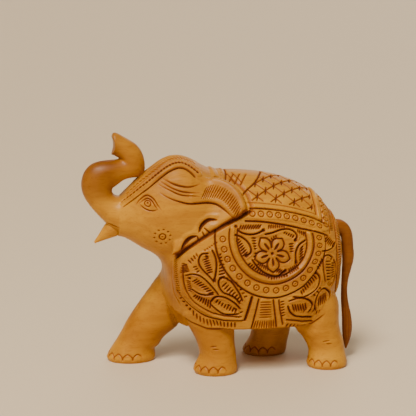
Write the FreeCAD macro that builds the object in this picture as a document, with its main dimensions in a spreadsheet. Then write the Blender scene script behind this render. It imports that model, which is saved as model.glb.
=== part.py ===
"""Carved wooden elephant, standing with its trunk raised.

The figure is cut from one block of wood: torso with its saddle cloth, head, trunk, ears and
legs are a single solid. The pointed lower lip and the tail are whittled apart, because their
grain has to run along them, and each is glued to the block with a round tenon in a drilled
socket.

Frame: millimetres, +Z up, the head points to -X, the left flank faces -Y. The origin is on the
ground, below the middle of the figure.

Every limb is a loft through ellipses. A row of a limb's table is one ellipse:
    x, y, z   its centre
    tilt      angle of its long axis above +X, in degrees, in the upright plane
    long      half of its length along that axis
    wide      half of its width, across the figure
"""

import FreeCAD
import Part
import Sketcher

import math
import os

COLUMNS = ("x", "y", "z", "tilt", "long", "wide")

TORSO = [
    (-30.0, 0, 50.0, 90, 8.0, 6.0),
    (-28.6, 0, 52.0, 90, 17.5, 13.5),
    (-24.0, 0, 55.0, 90, 30.0, 20.5),
    (-15.5, 0, 54.5, 90, 45.5, 25.5),
    (-3.0, 0, 51.5, 90, 54.0, 28.4),
    (11.0, 0, 50.5, 90, 55.0, 29.8),
    (25.0, 0, 50.0, 90, 53.6, 30.2),
    (39.0, 0, 50.5, 90, 48.9, 29.4),
    (50.0, 0, 53.5, 90, 39.5, 26.5),
    (58.0, 0, 56.0, 90, 28.8, 21.0),
    (63.2, 0, 58.0, 90, 18.2, 14.2),
    (66.0, 0, 59.5, 90, 9.2, 7.6),
    (66.9, 0, 60.0, 90, 3.8, 3.2),
]
HEAD = [
    (0.0, 0, 83.5, 90, 20.0, 18.0),
    (-8.0, 0, 84.0, 90, 24.5, 21.0),
    (-15.0, 0, 84.6, 90, 27.6, 22.5),
    (-22.0, 0, 85.6, 90, 29.0, 22.5),
    (-30.0, 0, 85.6, 90, 27.4, 21.0),
    (-37.0, 0, 85.6, 90, 23.2, 18.5),
    (-43.0, 0, 85.4, 90, 18.9, 15.5),
    (-49.0, 0, 84.4, 90, 14.0, 12.6),
    (-55.0, 0, 82.8, 90, 10.2, 9.8),
]
TRUNK = [
    (-42.0, 0, 86.0, 90, 12.4, 11.6),
    (-49.4, 0, 86.0, 84, 11.4, 10.8),
    (-56.4, 0, 86.8, 60, 8.6, 8.4),
    (-63.0, 0, 92.2, 28, 6.9, 6.8),
    (-65.6, 0, 98.6, -6, 8.2, 7.0),
    (-63.0, 0, 104.6, -40, 8.7, 6.8),
    (-57.2, 0, 107.0, -60, 7.1, 6.5),
    (-52.2, 0, 108.3, -62, 5.9, 5.8),
    (-47.5, 0, 109.7, -38, 7.3, 5.6),
    (-47.6, 0, 114.8, 2, 6.8, 5.3),
    (-50.3, 0, 118.4, 26, 6.4, 5.1),
    (-53.8, 0, 120.8, 60, 5.4, 4.8),
    (-57.6, 0, 121.2, 86, 4.9, 4.5),
]
LEG_FRONT_LEFT = [
    (-5.0, -12.5, 50.0, 0, 13.0, 10.0),
    (-8.2, -14.0, 36.0, 0, 14.5, 10.4),
    (-8.0, -14.8, 27.0, 0, 13.2, 10.0),
    (-6.3, -15.4, 20.5, 0, 11.2, 9.6),
    (-4.5, -15.8, 13.5, 0, 9.8, 9.2),
    (-4.2, -15.9, 8.5, 0, 10.0, 9.3),
    (-5.2, -16.0, 4.0, 0, 11.4, 10.2),
    (-5.3, -16.0, 1.4, 0, 11.6, 10.4),
    (-5.2, -16.0, 0.0, 0, 10.7, 9.6),
]
LEG_FRONT_RIGHT = [
    (-12.0, 12.0, 50.0, -30, 14.0, 10.0),
    (-19.4, 13.6, 39.5, -32, 14.0, 10.2),
    (-26.4, 14.6, 30.5, -34, 13.2, 10.0),
    (-33.4, 15.4, 22.5, -34, 12.0, 9.6),
    (-39.2, 15.8, 15.2, -26, 11.0, 9.2),
    (-43.1, 15.9, 9.2, -12, 11.0, 9.3),
    (-45.6, 16.0, 4.4, 0, 12.8, 10.2),
    (-45.9, 16.0, 1.5, 0, 13.2, 10.4),
    (-45.9, 16.0, 0.0, 0, 12.3, 9.6),
]
LEG_HIND_LEFT = [
    (44.0, -12.0, 50.0, 0, 14.5, 10.4),
    (47.6, -13.8, 36.0, 0, 14.4, 10.6),
    (49.0, -14.8, 27.0, 0, 13.4, 10.2),
    (51.0, -15.4, 20.5, 0, 11.8, 9.8),
    (54.4, -15.8, 14.0, 0, 10.4, 9.4),
    (55.7, -15.9, 9.0, 0, 9.8, 9.2),
    (56.0, -16.0, 4.2, 0, 10.6, 10.0),
    (56.0, -16.0, 1.4, 0, 10.8, 10.2),
    (56.0, -16.0, 0.0, 0, 9.9, 9.4),
]
LEG_HIND_RIGHT = [
    (37.0, 12.0, 50.0, 0, 14.5, 10.4),
    (36.0, 13.8, 36.0, 0, 13.8, 10.6),
    (34.8, 14.8, 27.0, 0, 12.8, 10.2),
    (33.8, 15.4, 20.5, 0, 11.6, 9.8),
    (32.4, 15.8, 13.5, 0, 10.8, 9.4),
    (31.0, 15.9, 8.0, 0, 11.0, 9.4),
    (29.3, 16.0, 3.6, 0, 12.0, 10.0),
    (28.8, 16.0, 1.2, 0, 12.1, 10.2),
    (28.8, 16.0, 0.0, 0, 11.2, 9.4),
]
LIP = [
    (-52.0, 0, 80.2, 130, 5.0, 4.8),
    (-57.6, 0, 76.4, 131, 4.7, 4.4),
    (-60.8, 0, 74.2, 128, 3.4, 3.2),
    (-64.0, 0, 71.8, 126, 1.9, 1.8),
    (-67.2, 0, 69.4, 126, 0.6, 0.55),
]
TAIL = [
    (63.6, -0.4, 72.6, 90, 4.3, 4.0),
    (67.0, -0.5, 72.5, 64, 3.9, 3.7),
    (69.7, -0.7, 69.6, 30, 3.4, 3.3),
    (70.8, -1.0, 63.0, 6, 3.2, 3.0),
    (71.1, -1.4, 55.6, -4, 3.2, 2.9),
    (70.0, -1.8, 48.0, -8, 2.4, 2.2),
    (69.0, -2.4, 40.0, 0, 1.8, 1.7),
    (69.2, -3.1, 31.0, 6, 2.1, 2.0),
    (70.3, -3.8, 22.0, 2, 2.7, 2.5),
    (70.3, -4.4, 14.5, -8, 2.6, 2.4),
    (69.9, -4.8, 9.0, -8, 1.5, 1.4),
    (69.6, -5.0, 5.6, -8, 0.5, 0.45),
]
TABLES = {
    "torso": TORSO,
    "head": HEAD,
    "trunk": TRUNK,
    "leg_front_left": LEG_FRONT_LEFT,
    "leg_front_right": LEG_FRONT_RIGHT,
    "leg_hind_left": LEG_HIND_LEFT,
    "leg_hind_right": LEG_HIND_RIGHT,
    "lower_lip": LIP,
    "tail": TAIL,
}

# The other driving dimensions: alias, value, what it is.
SIZES = [
    ("belly_height", 25.0, "height of the saddle cloth's level hem, and of the belly between the legs"),
    ("mouth_x", -64.1, "centre of the hollow that parts the two lips of the trunk"),
    ("mouth_z", 121.1, "height of that hollow"),
    ("mouth_radius", 7.9, "its radius"),
    ("ear_root_x", -25.8, "lowest point of the ear"),
    ("ear_root_y", -12.0, "inner face of the ear at that point, inside the neck"),
    ("ear_root_z", 62.0, "height of that point"),
    ("ear_flare", 22.0, "angle at which the ear stands away from the neck towards the back"),
    ("ear_lean", 20.0, "angle at which the top of the ear leans in to the crown"),
    ("ear_thick", 11.0, "from the ear's inner face to its outer face"),
    ("ear_mid_x", 18.9, "centre of the ear's round rim, level distance from the lowest point"),
    ("ear_mid_z", 23.2, "its height above that point"),
    ("ear_radius", 18.7, "radius of the rim"),
    ("ear_corner_z", 25.6, "height of the rear end of the straight lower edge above the lowest point"),
    ("ear_front_z", 24.0, "height at which the rim runs into the cheek"),
    ("ear_round", 1.8, "rounding of the outer edges of the ear"),
    ("tenon_radius", 1.5, "radius of the tenons of the lower lip and of the tail"),
    ("tenon_length", 7.0, "length of the tail's tenon"),
    ("lip_tenon_length", 11.0, "length of the lower lip's tenon"),
    ("glue_gap", 0.05, "room for glue round a tenon"),
    ("lip_tenon_x", -58.0, "outer end of the lower lip's tenon, inside the lip"),
    ("lip_tenon_y", 0.2, "the same, across"),
    ("lip_tenon_z", 76.2, "the same, height"),
    ("lip_tenon_dip", 36.0, "slope of the lower lip's tenon, falling forwards"),
    ("tail_seat_x", 63.6, "flat in the rump that the root of the tail is glued against"),
    ("tail_seat_y", -0.4, "centre of that flat, across"),
    ("tail_seat_z", 72.6, "centre of that flat, height"),
    ("tail_seat_radius", 4.7, "radius of the flat"),
    ("tail_tenon_start", 3.0, "how far the tail's tenon reaches into the tail"),
    ("cutter", 200.0, "side of the plain solids that cut material away, larger than the figure"),
]


def alias_of(limb, row, column):
    """The sheet's name for one number of a limb's table."""
    return f"{limb}_{row + 1}_{column}"


def fill_sheet(doc):
    """The driving dimensions, one to a row: a value with its alias, and what it is."""
    sheet = doc.addObject("Spreadsheet::Sheet", "Dimensions")
    line = 1
    rows = list(SIZES)
    for limb, table in TABLES.items():
        for n, row in enumerate(table):
            for column, value in zip(COLUMNS, row):
                rows.append((alias_of(limb, n, column), value, f"{limb} ellipse {n + 1}, {column}"))
    for alias, value, words in rows:
        sheet.set(f"A{line}", words)
        sheet.set(f"B{line}", str(value))
        sheet.setAlias(f"B{line}", alias)
        line += 1
    doc.recompute()
    return sheet


def bind(obj, **cells):
    """Drives properties of obj from the sheet. A double underscore in a name stands for a dot."""
    for name, formula in cells.items():
        obj.setExpression(name.replace("__", "."), formula)


def cell(alias):
    return f"Dimensions.{alias}"


def ellipse(doc, limb, row):
    """One section of a limb: an ellipse whose long axis lies in the upright plane."""
    section = doc.addObject("Part::Ellipse", f"{limb}_section_{row + 1}")
    section.Placement = FreeCAD.Placement(
        FreeCAD.Vector(), FreeCAD.Rotation(FreeCAD.Vector(0, -1, 0), 45)
    )
    bind(
        section,
        MajorRadius=cell(alias_of(limb, row, "long")),
        MinorRadius=cell(alias_of(limb, row, "wide")),
        Placement__Base__x=cell(alias_of(limb, row, "x")),
        Placement__Base__y=cell(alias_of(limb, row, "y")),
        Placement__Base__z=cell(alias_of(limb, row, "z")),
        Placement__Rotation__Angle=cell(alias_of(limb, row, "tilt")),
    )
    return section


def loft(doc, limb):
    """A limb: a smooth solid through its ellipses."""
    limb_loft = doc.addObject("Part::Loft", f"{limb}_loft")
    limb_loft.Sections = [ellipse(doc, limb, row) for row in range(len(TABLES[limb]))]
    limb_loft.Solid = True
    limb_loft.Ruled = False
    return limb_loft


def boolean(doc, kind, name, base, tool):
    made = doc.addObject(f"Part::{kind}", name)
    made.Base = base
    made.Tool = tool
    return made


def mirrored(doc, name, source):
    """The same piece on the other side of the upright middle plane."""
    made = doc.addObject("Part::Mirroring", name)
    made.Source = source
    made.Base = FreeCAD.Vector(0, 0, 0)
    made.Normal = FreeCAD.Vector(0, 1, 0)
    return made


def plane_of(body, role):
    """One of the body's own origin planes."""
    return next(part for part in body.Origin.OriginFeatures if part.Role == role)


def ear(doc):
    """The left ear: a pad with a round rim and a straight lower edge, its outer edges rounded.

    The outline is drawn near its final shape; its named constraints then take the sheet's values.
    """
    body = doc.addObject("PartDesign::Body", "ear_left_blank")
    outline = body.newObject("Sketcher::SketchObject", "ear_outline")
    outline.AttachmentSupport = [(plane_of(body, "XZ_Plane"), "")]
    outline.MapMode = "FlatFace"
    middle = FreeCAD.Vector(18.9, 23.2, 0)
    rim = Part.Circle(middle, FreeCAD.Vector(0, 0, 1), 18.7)
    outline.addGeometry(Part.ArcOfCircle(rim, math.radians(7.4), math.radians(177.5)), False)
    corner = middle + FreeCAD.Vector(18.5, 2.4, 0)
    front = middle + FreeCAD.Vector(-18.6, 0.8, 0)
    outline.addGeometry(Part.LineSegment(front, FreeCAD.Vector(0, 0, 0)), False)
    outline.addGeometry(Part.LineSegment(FreeCAD.Vector(0, 0, 0), corner), False)
    outline.addConstraint(
        [
            Sketcher.Constraint("Coincident", 0, 2, 1, 1),
            Sketcher.Constraint("Coincident", 1, 2, 2, 1),
            Sketcher.Constraint("Coincident", 2, 2, 0, 1),
            Sketcher.Constraint("Coincident", 2, 1, -1, 1),
        ]
    )
    sized = {
        "mid_x": (("DistanceX", -1, 1, 0, 3, 18.9), "ear_mid_x"),
        "mid_z": (("DistanceY", -1, 1, 0, 3, 23.2), "ear_mid_z"),
        "rim": (("Radius", 0, 18.7), "ear_radius"),
        "corner": (("DistanceY", -1, 1, 0, 1, 25.6), "ear_corner_z"),
        "front": (("DistanceY", -1, 1, 0, 2, 24.0), "ear_front_z"),
    }
    for name, (rule, alias) in sized.items():
        number = outline.addConstraint(Sketcher.Constraint(*rule))
        outline.renameConstraint(number, name)
        outline.setExpression(f"Constraints.{name}", cell(alias))
    pad = body.newObject("PartDesign::Pad", "ear_pad")
    pad.Profile = outline
    bind(pad, Length=cell("ear_thick"))
    doc.recompute()
    outer = [
        f"Edge{n + 1}"
        for n, edge in enumerate(pad.Shape.Edges)
        if all(abs(vertex.Y + pad.Length.Value) < 0.001 for vertex in edge.Vertexes)
    ]
    rounding = body.newObject("PartDesign::Fillet", "ear_rounding")
    rounding.Base = (pad, outer)
    bind(rounding, Radius=cell("ear_round"))
    body.Tip = rounding
    flare = doc.getObject("Dimensions").ear_flare
    lean = doc.getObject("Dimensions").ear_lean
    turn = FreeCAD.Rotation(FreeCAD.Vector(0, 0, 1), -flare)
    turn = turn.multiply(FreeCAD.Rotation(FreeCAD.Vector(1, 0, 0), -lean))
    body.Placement = FreeCAD.Placement(FreeCAD.Vector(), turn)
    bind(
        body,
        Placement__Base__x=cell("ear_root_x"),
        Placement__Base__y=cell("ear_root_y"),
        Placement__Base__z=cell("ear_root_z"),
    )
    return body


def rod(doc, name, tip, dip, length, loose):
    """A round tenon, or the socket for one, running back from its outer end into the block."""
    made = doc.addObject("Part::Cylinder", name)
    made.Placement = FreeCAD.Placement(
        FreeCAD.Vector(), FreeCAD.Rotation(FreeCAD.Vector(0, 1, 0), 45)
    )
    bind(
        made,
        Radius=cell("tenon_radius") + (" + " + cell("glue_gap") if loose else ""),
        Height=length,
        Placement__Base__x=tip[0],
        Placement__Base__y=tip[1],
        Placement__Base__z=tip[2],
        Placement__Rotation__Angle=dip,
    )
    return made


def check(obj):
    """Stops the build if an object is broken or empty."""
    if "Invalid" in obj.State or "Error" in obj.State:
        raise RuntimeError(f"{obj.Label} did not compute: {obj.State}")
    if obj.Shape.isNull() or not obj.Shape.isValid():
        raise RuntimeError(f"{obj.Label} has no valid shape")


def main():
    doc = FreeCAD.newDocument("CarvedElephant")
    fill_sheet(doc)
    lofts = {limb: loft(doc, limb) for limb in TABLES}
    doc.recompute()
    for made in lofts.values():
        check(made)

    ear_left = ear(doc)
    ear_right = mirrored(doc, "ear_right_blank", ear_left)

    under = doc.addObject("Part::Box", "below_the_hem")
    bind(
        under,
        Length=cell("cutter"),
        Width=cell("cutter"),
        Height=cell("cutter"),
        Placement__Base__x="-" + cell("cutter") + " / 2",
        Placement__Base__y="-" + cell("cutter") + " / 2",
        Placement__Base__z=cell("belly_height") + " - " + cell("cutter"),
    )
    torso = boolean(doc, "Cut", "torso_above_hem", lofts["torso"], under)

    hollow = doc.addObject("Part::Cylinder", "trunk_tip_hollow")
    hollow.Placement = FreeCAD.Placement(
        FreeCAD.Vector(), FreeCAD.Rotation(FreeCAD.Vector(1, 0, 0), -90)
    )
    bind(
        hollow,
        Radius=cell("mouth_radius"),
        Height=cell("cutter"),
        Placement__Base__x=cell("mouth_x"),
        Placement__Base__y="-" + cell("cutter") + " / 2",
        Placement__Base__z=cell("mouth_z"),
    )
    trunk = boolean(doc, "Cut", "trunk_with_lips", lofts["trunk"], hollow)
    doc.recompute()
    for made in (ear_left, ear_right, torso, trunk):
        check(made)

    whole = doc.addObject("Part::MultiFuse", "block_without_sockets")
    whole.Shapes = [
        torso,
        lofts["head"],
        trunk,
        lofts["leg_front_left"],
        lofts["leg_front_right"],
        lofts["leg_hind_left"],
        lofts["leg_hind_right"],
        ear_left,
        ear_right,
    ]
    doc.recompute()
    check(whole)

    lip_at = [cell("lip_tenon_x"), cell("lip_tenon_y"), cell("lip_tenon_z")]
    tail_at = [
        cell("tail_seat_x") + " + " + cell("tail_tenon_start"),
        cell("tail_seat_y"),
        cell("tail_seat_z"),
    ]
    lip_dip = "90 - " + cell("lip_tenon_dip")
    lip_reach = cell("lip_tenon_length")
    reach = cell("tenon_length")
    gap = cell("glue_gap")
    lip_bare = boolean(doc, "Cut", "lower_lip_bare", lofts["lower_lip"], whole)
    lip_tenon = rod(doc, "lower_lip_tenon", lip_at, lip_dip, lip_reach, False)
    lip = boolean(doc, "Fuse", "lower_lip", lip_bare, lip_tenon)
    tail_tenon = rod(doc, "tail_tenon", tail_at, "270", reach, False)
    tail = boolean(doc, "Fuse", "tail", lofts["tail"], tail_tenon)

    socket_lip = rod(doc, "lower_lip_socket", lip_at, lip_dip, f"{lip_reach} + {gap}", True)
    socket_tail = rod(doc, "tail_socket", tail_at, "270", f"{reach} + {gap}", True)
    seat = rod(doc, "tail_seat", tail_at, "90", reach, False)
    bind(
        seat,
        Radius=cell("tail_seat_radius"),
        Placement__Base__x=cell("tail_seat_x"),
    )
    sockets = doc.addObject("Part::MultiFuse", "sockets")
    sockets.Shapes = [socket_lip, socket_tail, seat]
    block = boolean(doc, "Cut", "carved_block", whole, sockets)
    doc.recompute()

    os.makedirs("parts", exist_ok=True)
    for piece in (block, lip, tail):
        check(piece)
        if len(piece.Shape.Solids) != 1:
            raise RuntimeError(f"{piece.Label} is {len(piece.Shape.Solids)} solids")
        piece.Shape.exportStep(f"parts/{piece.Label}.step")


main()
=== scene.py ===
"""Carved wooden elephant: the looks.

The CAD blank is remeshed and then carved the way the real one is: the saddle cloth, the
headpiece, the ears and the nails are drawn as flat patterns in millimetres, wrapped round the
form, and cut into the surface. Dark stain and painted shade lie in the cuts.

Patterns of the cloth use (u, s): u runs along the flank from the chest to the rump and is equal
to x at x = 11, s runs down from the spine. Patterns of head and ears use (x, z).
"""

import math

import bpy
import numpy as np
from mathutils import Matrix, Vector


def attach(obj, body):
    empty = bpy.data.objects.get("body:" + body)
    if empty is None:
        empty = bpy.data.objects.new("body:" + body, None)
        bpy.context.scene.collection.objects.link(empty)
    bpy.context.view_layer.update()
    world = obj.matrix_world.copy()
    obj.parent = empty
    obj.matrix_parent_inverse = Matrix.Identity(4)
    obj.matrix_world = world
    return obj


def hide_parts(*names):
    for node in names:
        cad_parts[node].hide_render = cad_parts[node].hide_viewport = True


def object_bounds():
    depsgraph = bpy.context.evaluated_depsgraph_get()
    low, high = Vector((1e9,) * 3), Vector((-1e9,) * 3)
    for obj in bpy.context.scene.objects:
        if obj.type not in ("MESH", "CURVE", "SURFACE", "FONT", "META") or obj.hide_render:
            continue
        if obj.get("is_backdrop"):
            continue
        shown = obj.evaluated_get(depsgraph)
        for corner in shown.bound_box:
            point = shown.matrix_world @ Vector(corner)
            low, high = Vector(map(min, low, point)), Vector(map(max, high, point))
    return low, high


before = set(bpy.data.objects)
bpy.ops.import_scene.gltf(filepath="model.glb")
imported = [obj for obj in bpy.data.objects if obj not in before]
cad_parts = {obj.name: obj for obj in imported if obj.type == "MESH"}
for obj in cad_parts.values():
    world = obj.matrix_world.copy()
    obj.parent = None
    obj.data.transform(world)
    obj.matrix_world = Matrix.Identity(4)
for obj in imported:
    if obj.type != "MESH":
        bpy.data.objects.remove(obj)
size_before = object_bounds()
MM = 0.001
VOXEL = 0.34
SMALL_VOXEL = 0.3

# How far, in millimetres, the cloth stands up, the legs stand back and the ear is undercut, and
# how deep a cut is when its stain and painted shade are at their darkest.
CLOTH_LIFT = 0.5
HEM_STEP = 0.7
UNDERCUT = 1.2
FULL_STAIN_AND_SHADE_AT = 0.85

# Rounds of sanding: where the ear meets the cheek, the flat of the chest, the fold of the shoulder.
EAR_ROUNDS = 260
CHEST_ROUNDS = 1200
SHOULDER_ROUNDS = 60


# ------------------------------------------------------------------ blanks
def blank(node, voxel, ease):
    """A CAD node as an even, slightly eased mesh, ready to carve."""
    scratch = bpy.data.objects.new("scratch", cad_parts[node].data.copy())
    bpy.context.scene.collection.objects.link(scratch)
    remesh = scratch.modifiers.new("even", "REMESH")
    remesh.mode = "VOXEL"
    remesh.voxel_size = voxel * MM
    soft = scratch.modifiers.new("ease", "SMOOTH")
    soft.factor = 0.5
    soft.iterations = ease
    graph = bpy.context.evaluated_depsgraph_get()
    mesh = bpy.data.meshes.new_from_object(scratch.evaluated_get(graph))
    mesh.name = node + "_carved"
    bpy.data.objects.remove(scratch)
    mesh.materials.clear()
    obj = bpy.data.objects.new(node + "_carved", mesh)
    bpy.context.scene.collection.objects.link(obj)
    return obj


def coords(mesh):
    co = np.zeros(len(mesh.vertices) * 3, np.float32)
    mesh.vertices.foreach_get("co", co)
    return co.reshape(-1, 3).astype(float) / MM


def normals(mesh):
    no = np.zeros(len(mesh.vertices) * 3, np.float32)
    mesh.vertex_normals.foreach_get("vector", no)
    return no.reshape(-1, 3).astype(float)


def set_coords(mesh, co):
    mesh.vertices.foreach_set("co", (co * MM).astype(np.float32).ravel())
    mesh.update()


def relax(mesh, co, where, rounds):
    """Evens out the vertices that where marks, like sanding a ridge down."""
    edges = np.zeros(len(mesh.edges) * 2, np.int32)
    mesh.edges.foreach_get("vertices", edges)
    edges = edges.reshape(-1, 2)
    edges = edges[where[edges].any(axis=1)]
    a = np.concatenate([edges[:, 0], edges[:, 1]])
    b = np.concatenate([edges[:, 1], edges[:, 0]])
    b = b[where[a]]
    a = a[where[a]]
    spots, row = np.unique(a, return_inverse=True)
    count = np.bincount(row)
    co = co.copy()
    for _ in range(rounds):
        mean = np.stack([np.bincount(row, co[b, k]) / count for k in range(3)], 1)
        co[spots] += 0.6 * (mean - co[spots])
    return co


def set_layer(mesh, name, values):
    """A number from 0 to 1 at each vertex, for the material: dark stain with painted shade, or a darker
    tone that is painted shade on the tail.
    """
    layer = mesh.attributes.new(name, "FLOAT", "POINT")
    layer.data.foreach_set("value", np.clip(values, 0, 1).astype(np.float32))


block = blank("carved_block", VOXEL, 6)
lip = blank("lower_lip", SMALL_VOXEL, 3)
tail = blank("tail", SMALL_VOXEL, 4)


# ------------------------------------------------------------------ flat patterns
class Relief:
    """A height map over a flat pattern, in millimetres: what is left raised and what is cut."""

    def __init__(self, low, high, step=0.12):
        self.low = low
        self.step = step
        self.shape = [int((h - l) / step) + 2 for l, h in zip(low, high)]
        self.up = np.zeros(self.shape, np.float32)
        self.down = np.zeros(self.shape, np.float32)

    def window(self, pts, pad):
        """The part of the map within pad of the points, and its two coordinates."""
        pts = np.atleast_2d(pts)
        cuts = []
        axes = []
        for k in (0, 1):
            first = int(max(0, (pts[:, k].min() - pad - self.low[k]) / self.step))
            last = int(min(self.shape[k], (pts[:, k].max() + pad - self.low[k]) / self.step + 2))
            cuts.append(slice(first, max(first, last)))
            axes.append(self.low[k] + self.step * np.arange(first, max(first, last)))
        u, v = np.meshgrid(axes[0], axes[1], indexing="ij")
        return tuple(cuts), u, v

    def span(self, a, b, pad):
        """The window round a straight line, how far along it and how far from it."""
        cut, u, v = self.window([a, b], pad)
        d = (b[0] - a[0], b[1] - a[1])
        t = ((u - a[0]) * d[0] + (v - a[1]) * d[1]) / max(d[0] ** 2 + d[1] ** 2, 1e-9)
        t = np.clip(t, 0, 1)
        return cut, t, np.hypot(u - a[0] - t * d[0], v - a[1] - t * d[1])

    def keep(self, cut, depth):
        self.down[cut] = np.maximum(self.down[cut], depth)

    def stroke(self, a, b, wide=0.95, deep=0.65):
        """A short chisel cut, pointed at both ends."""
        cut, t, d = self.span(a, b, wide)
        half = wide / 2 * (0.35 + 0.65 * np.sin(math.pi * t) ** 0.5)
        self.keep(cut, deep * np.clip(1 - (d / half) ** 2, 0, 1))

    def line(self, pts, wide=0.95, deep=0.7, taper=False):
        """A long V cut along a curve."""
        n = len(pts) - 1
        for k in range(n):
            cut, t, d = self.span(pts[k], pts[k + 1], wide)
            size = 1.0
            if taper:
                size = 0.25 + 0.75 * np.sin(math.pi * (k + t) / n) ** 0.6
            half = wide / 2 * size
            self.keep(cut, deep * size * np.clip(1 - (d / half) ** 2, 0, 1))

    def ring(self, p, r, wide=0.75, deep=0.55):
        cut, u, v = self.window([p], r + wide)
        d = np.abs(np.hypot(u - p[0], v - p[1]) - r)
        self.keep(cut, deep * np.clip(1 - (2 * d / wide) ** 2, 0, 1))

    def dot(self, p, r=0.5, deep=0.5):
        cut, u, v = self.window([p], r)
        d = np.hypot(u - p[0], v - p[1])
        self.keep(cut, deep * np.clip(1 - (d / r) ** 2, 0, 1))

    def punch(self, p):
        """The mark of a ring punch."""
        self.ring(p, 1.45, 0.78, 0.62)
        self.dot(p, 0.5, 0.5)

    def ridge(self, pts, wide, high, soft=0.5):
        """Wood left standing along a curve, or sunk if high is negative."""
        for a, b in zip(pts[:-1], pts[1:]):
            cut, t, d = self.span(a, b, wide / 2 + soft)
            rise = np.clip((wide / 2 + soft / 2 - d) / soft, 0, 1)
            rise = high * rise * rise * (3 - 2 * rise)
            self.up[cut] = np.where(np.abs(rise) > np.abs(self.up[cut]), rise, self.up[cut])

    def hatch(self, first, last, count, wide=0.95, deep=0.65):
        """A row of strokes, from the first (two ends) to the last."""
        first = np.array(first, float)
        last = np.array(last, float)
        for t in np.linspace(0, 1, count):
            a, b = first * (1 - t) + last * t
            self.stroke(a, b, wide, deep)


def sample(relief, grid, u, v):
    """Values of a relief's map at points, evened out between its cells."""
    x = np.clip((u - relief.low[0]) / relief.step, 0, relief.shape[0] - 1.001)
    y = np.clip((v - relief.low[1]) / relief.step, 0, relief.shape[1] - 1.001)
    i = x.astype(int)
    j = y.astype(int)
    fx = x - i
    fy = y - j
    near = grid[i, j] * (1 - fy) + grid[i, j + 1] * fy
    far = grid[i + 1, j] * (1 - fy) + grid[i + 1, j + 1] * fy
    return near * (1 - fx) + far * fx


def spread(grid, cells=13):
    """A map evened out over a square of cells, twice."""
    for axis in (0, 1, 0, 1):
        edge = [(0, 0), (0, 0)]
        edge[axis] = (cells // 2 + 1, cells // 2)
        total = np.cumsum(np.pad(grid, edge, mode="edge"), axis=axis, dtype=float)
        high = np.take(total, range(cells, total.shape[axis]), axis=axis)
        low = np.take(total, range(total.shape[axis] - cells), axis=axis)
        grid = (high - low) / cells
    return grid


def smooth(pts, per=6):
    """A smooth curve through the points."""
    p = [np.array(q, float) for q in pts]
    p = [2 * p[0] - p[1]] + p + [2 * p[-1] - p[-2]]
    out = []
    for a, b, c, d in zip(p[:-3], p[1:-2], p[2:-1], p[3:]):
        for t in np.arange(per) / per:
            bend = (2 * a - 5 * b + 4 * c - d) * t * t + (3 * b - a - 3 * c + d) * t**3
            out.append(0.5 * (2 * b + (c - a) * t + bend))
    out.append(p[-2])
    return np.array(out)


def even(curve, count):
    """Points at even spacing along a curve, and the curve's direction at each."""
    curve = np.asarray(curve, float)
    run = np.concatenate([[0], np.cumsum(np.hypot(*np.diff(curve, axis=0).T))])
    at = np.linspace(0, run[-1], count)
    pts = np.stack([np.interp(at, run, curve[:, k]) for k in (0, 1)], 1)
    way = np.gradient(pts, axis=0)
    way /= np.maximum(np.hypot(way[:, 0], way[:, 1]), 1e-9)[:, None]
    return pts, way


def offset(curve, distance):
    pts, way = even(curve, max(12, len(curve)))
    return pts + distance * np.stack([-way[:, 1], way[:, 0]], 1)


def comb(relief, curve, reach, gap=1.35, wide=0.95, deep=0.65, slant=0.0):
    """Strokes across a curve, like the teeth of a comb."""
    length = np.hypot(*np.diff(curve, axis=0).T).sum()
    pts, way = even(curve, max(2, int(length / gap)))
    for p, d in zip(pts, way):
        side = np.array([-d[1], d[0]]) + slant * d
        relief.stroke(p - side * reach / 2, p + side * reach / 2, wide, deep)


def arc_of(centre, r, start, stop, n=48):
    t = np.radians(np.linspace(start, stop, n))
    return np.stack([centre[0] + r * np.cos(t), centre[1] + r * np.sin(t)], 1)


def ramp_up(x, low, high):
    t = np.clip((x - low) / (high - low), 0, 1)
    return t * t * (3 - 2 * t)


# ------------------------------------------------------------------ form
# One row to a station of the CAD form: x, height of the middle, half height, half width.
BODY = np.array(
    [
        (-30.0, 50.0, 8.0, 6.0),
        (-28.6, 52.0, 17.5, 13.5),
        (-24.0, 55.0, 30.0, 20.5),
        (-15.5, 54.5, 45.5, 25.5),
        (-3.0, 51.5, 54.0, 28.4),
        (11.0, 50.5, 55.0, 29.8),
        (25.0, 50.0, 53.6, 30.2),
        (39.0, 50.5, 48.9, 29.4),
        (50.0, 53.5, 39.5, 26.5),
        (58.0, 56.0, 28.8, 21.0),
        (63.2, 58.0, 18.2, 14.2),
        (66.0, 59.5, 9.2, 7.6),
        (66.9, 60.0, 3.8, 3.2),
    ]
).T
SKULL = np.array(
    [
        (-55.0, 82.8, 10.2, 9.8),
        (-49.0, 84.4, 14.0, 12.6),
        (-43.0, 85.4, 18.9, 15.5),
        (-37.0, 85.6, 23.2, 18.5),
        (-30.0, 85.6, 27.4, 21.0),
        (-22.0, 85.6, 29.0, 22.5),
        (-15.0, 84.6, 27.6, 22.5),
        (-8.0, 84.0, 24.5, 21.0),
        (0.0, 83.5, 20.0, 18.0),
    ]
).T
ANGLES = np.linspace(0, math.pi, 721)


def girth(wide, high):
    """Length along an ellipse from its top, for each of ANGLES."""
    pace = np.hypot(wide * np.cos(ANGLES), high * np.sin(ANGLES))
    return np.concatenate([[0], np.cumsum((pace[1:] + pace[:-1]) / 2 * np.diff(ANGLES))])


def unroll(co, form, around):
    """How far down from the spine each point lies, and how far off the form."""
    middle, high, wide = (np.interp(co[:, 0], form[0], form[k]) for k in (1, 2, 3))
    a = np.abs(co[:, 1]) / wide
    b = (co[:, 2] - middle) / high
    off = (np.hypot(a, b) - 1) * np.minimum(wide, high)
    return np.interp(np.arctan2(a, b), ANGLES, around), off


TORSO_GIRTH = girth(30, 54)
HEAD_GIRTH = girth(22, 28)
LEVEL_AT = 11.0
paces = np.concatenate([[0], np.cumsum(np.hypot(np.diff(BODY[0]), np.diff(BODY[3])))])
paces += LEVEL_AT - np.interp(LEVEL_AT, BODY[0], paces)

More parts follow.
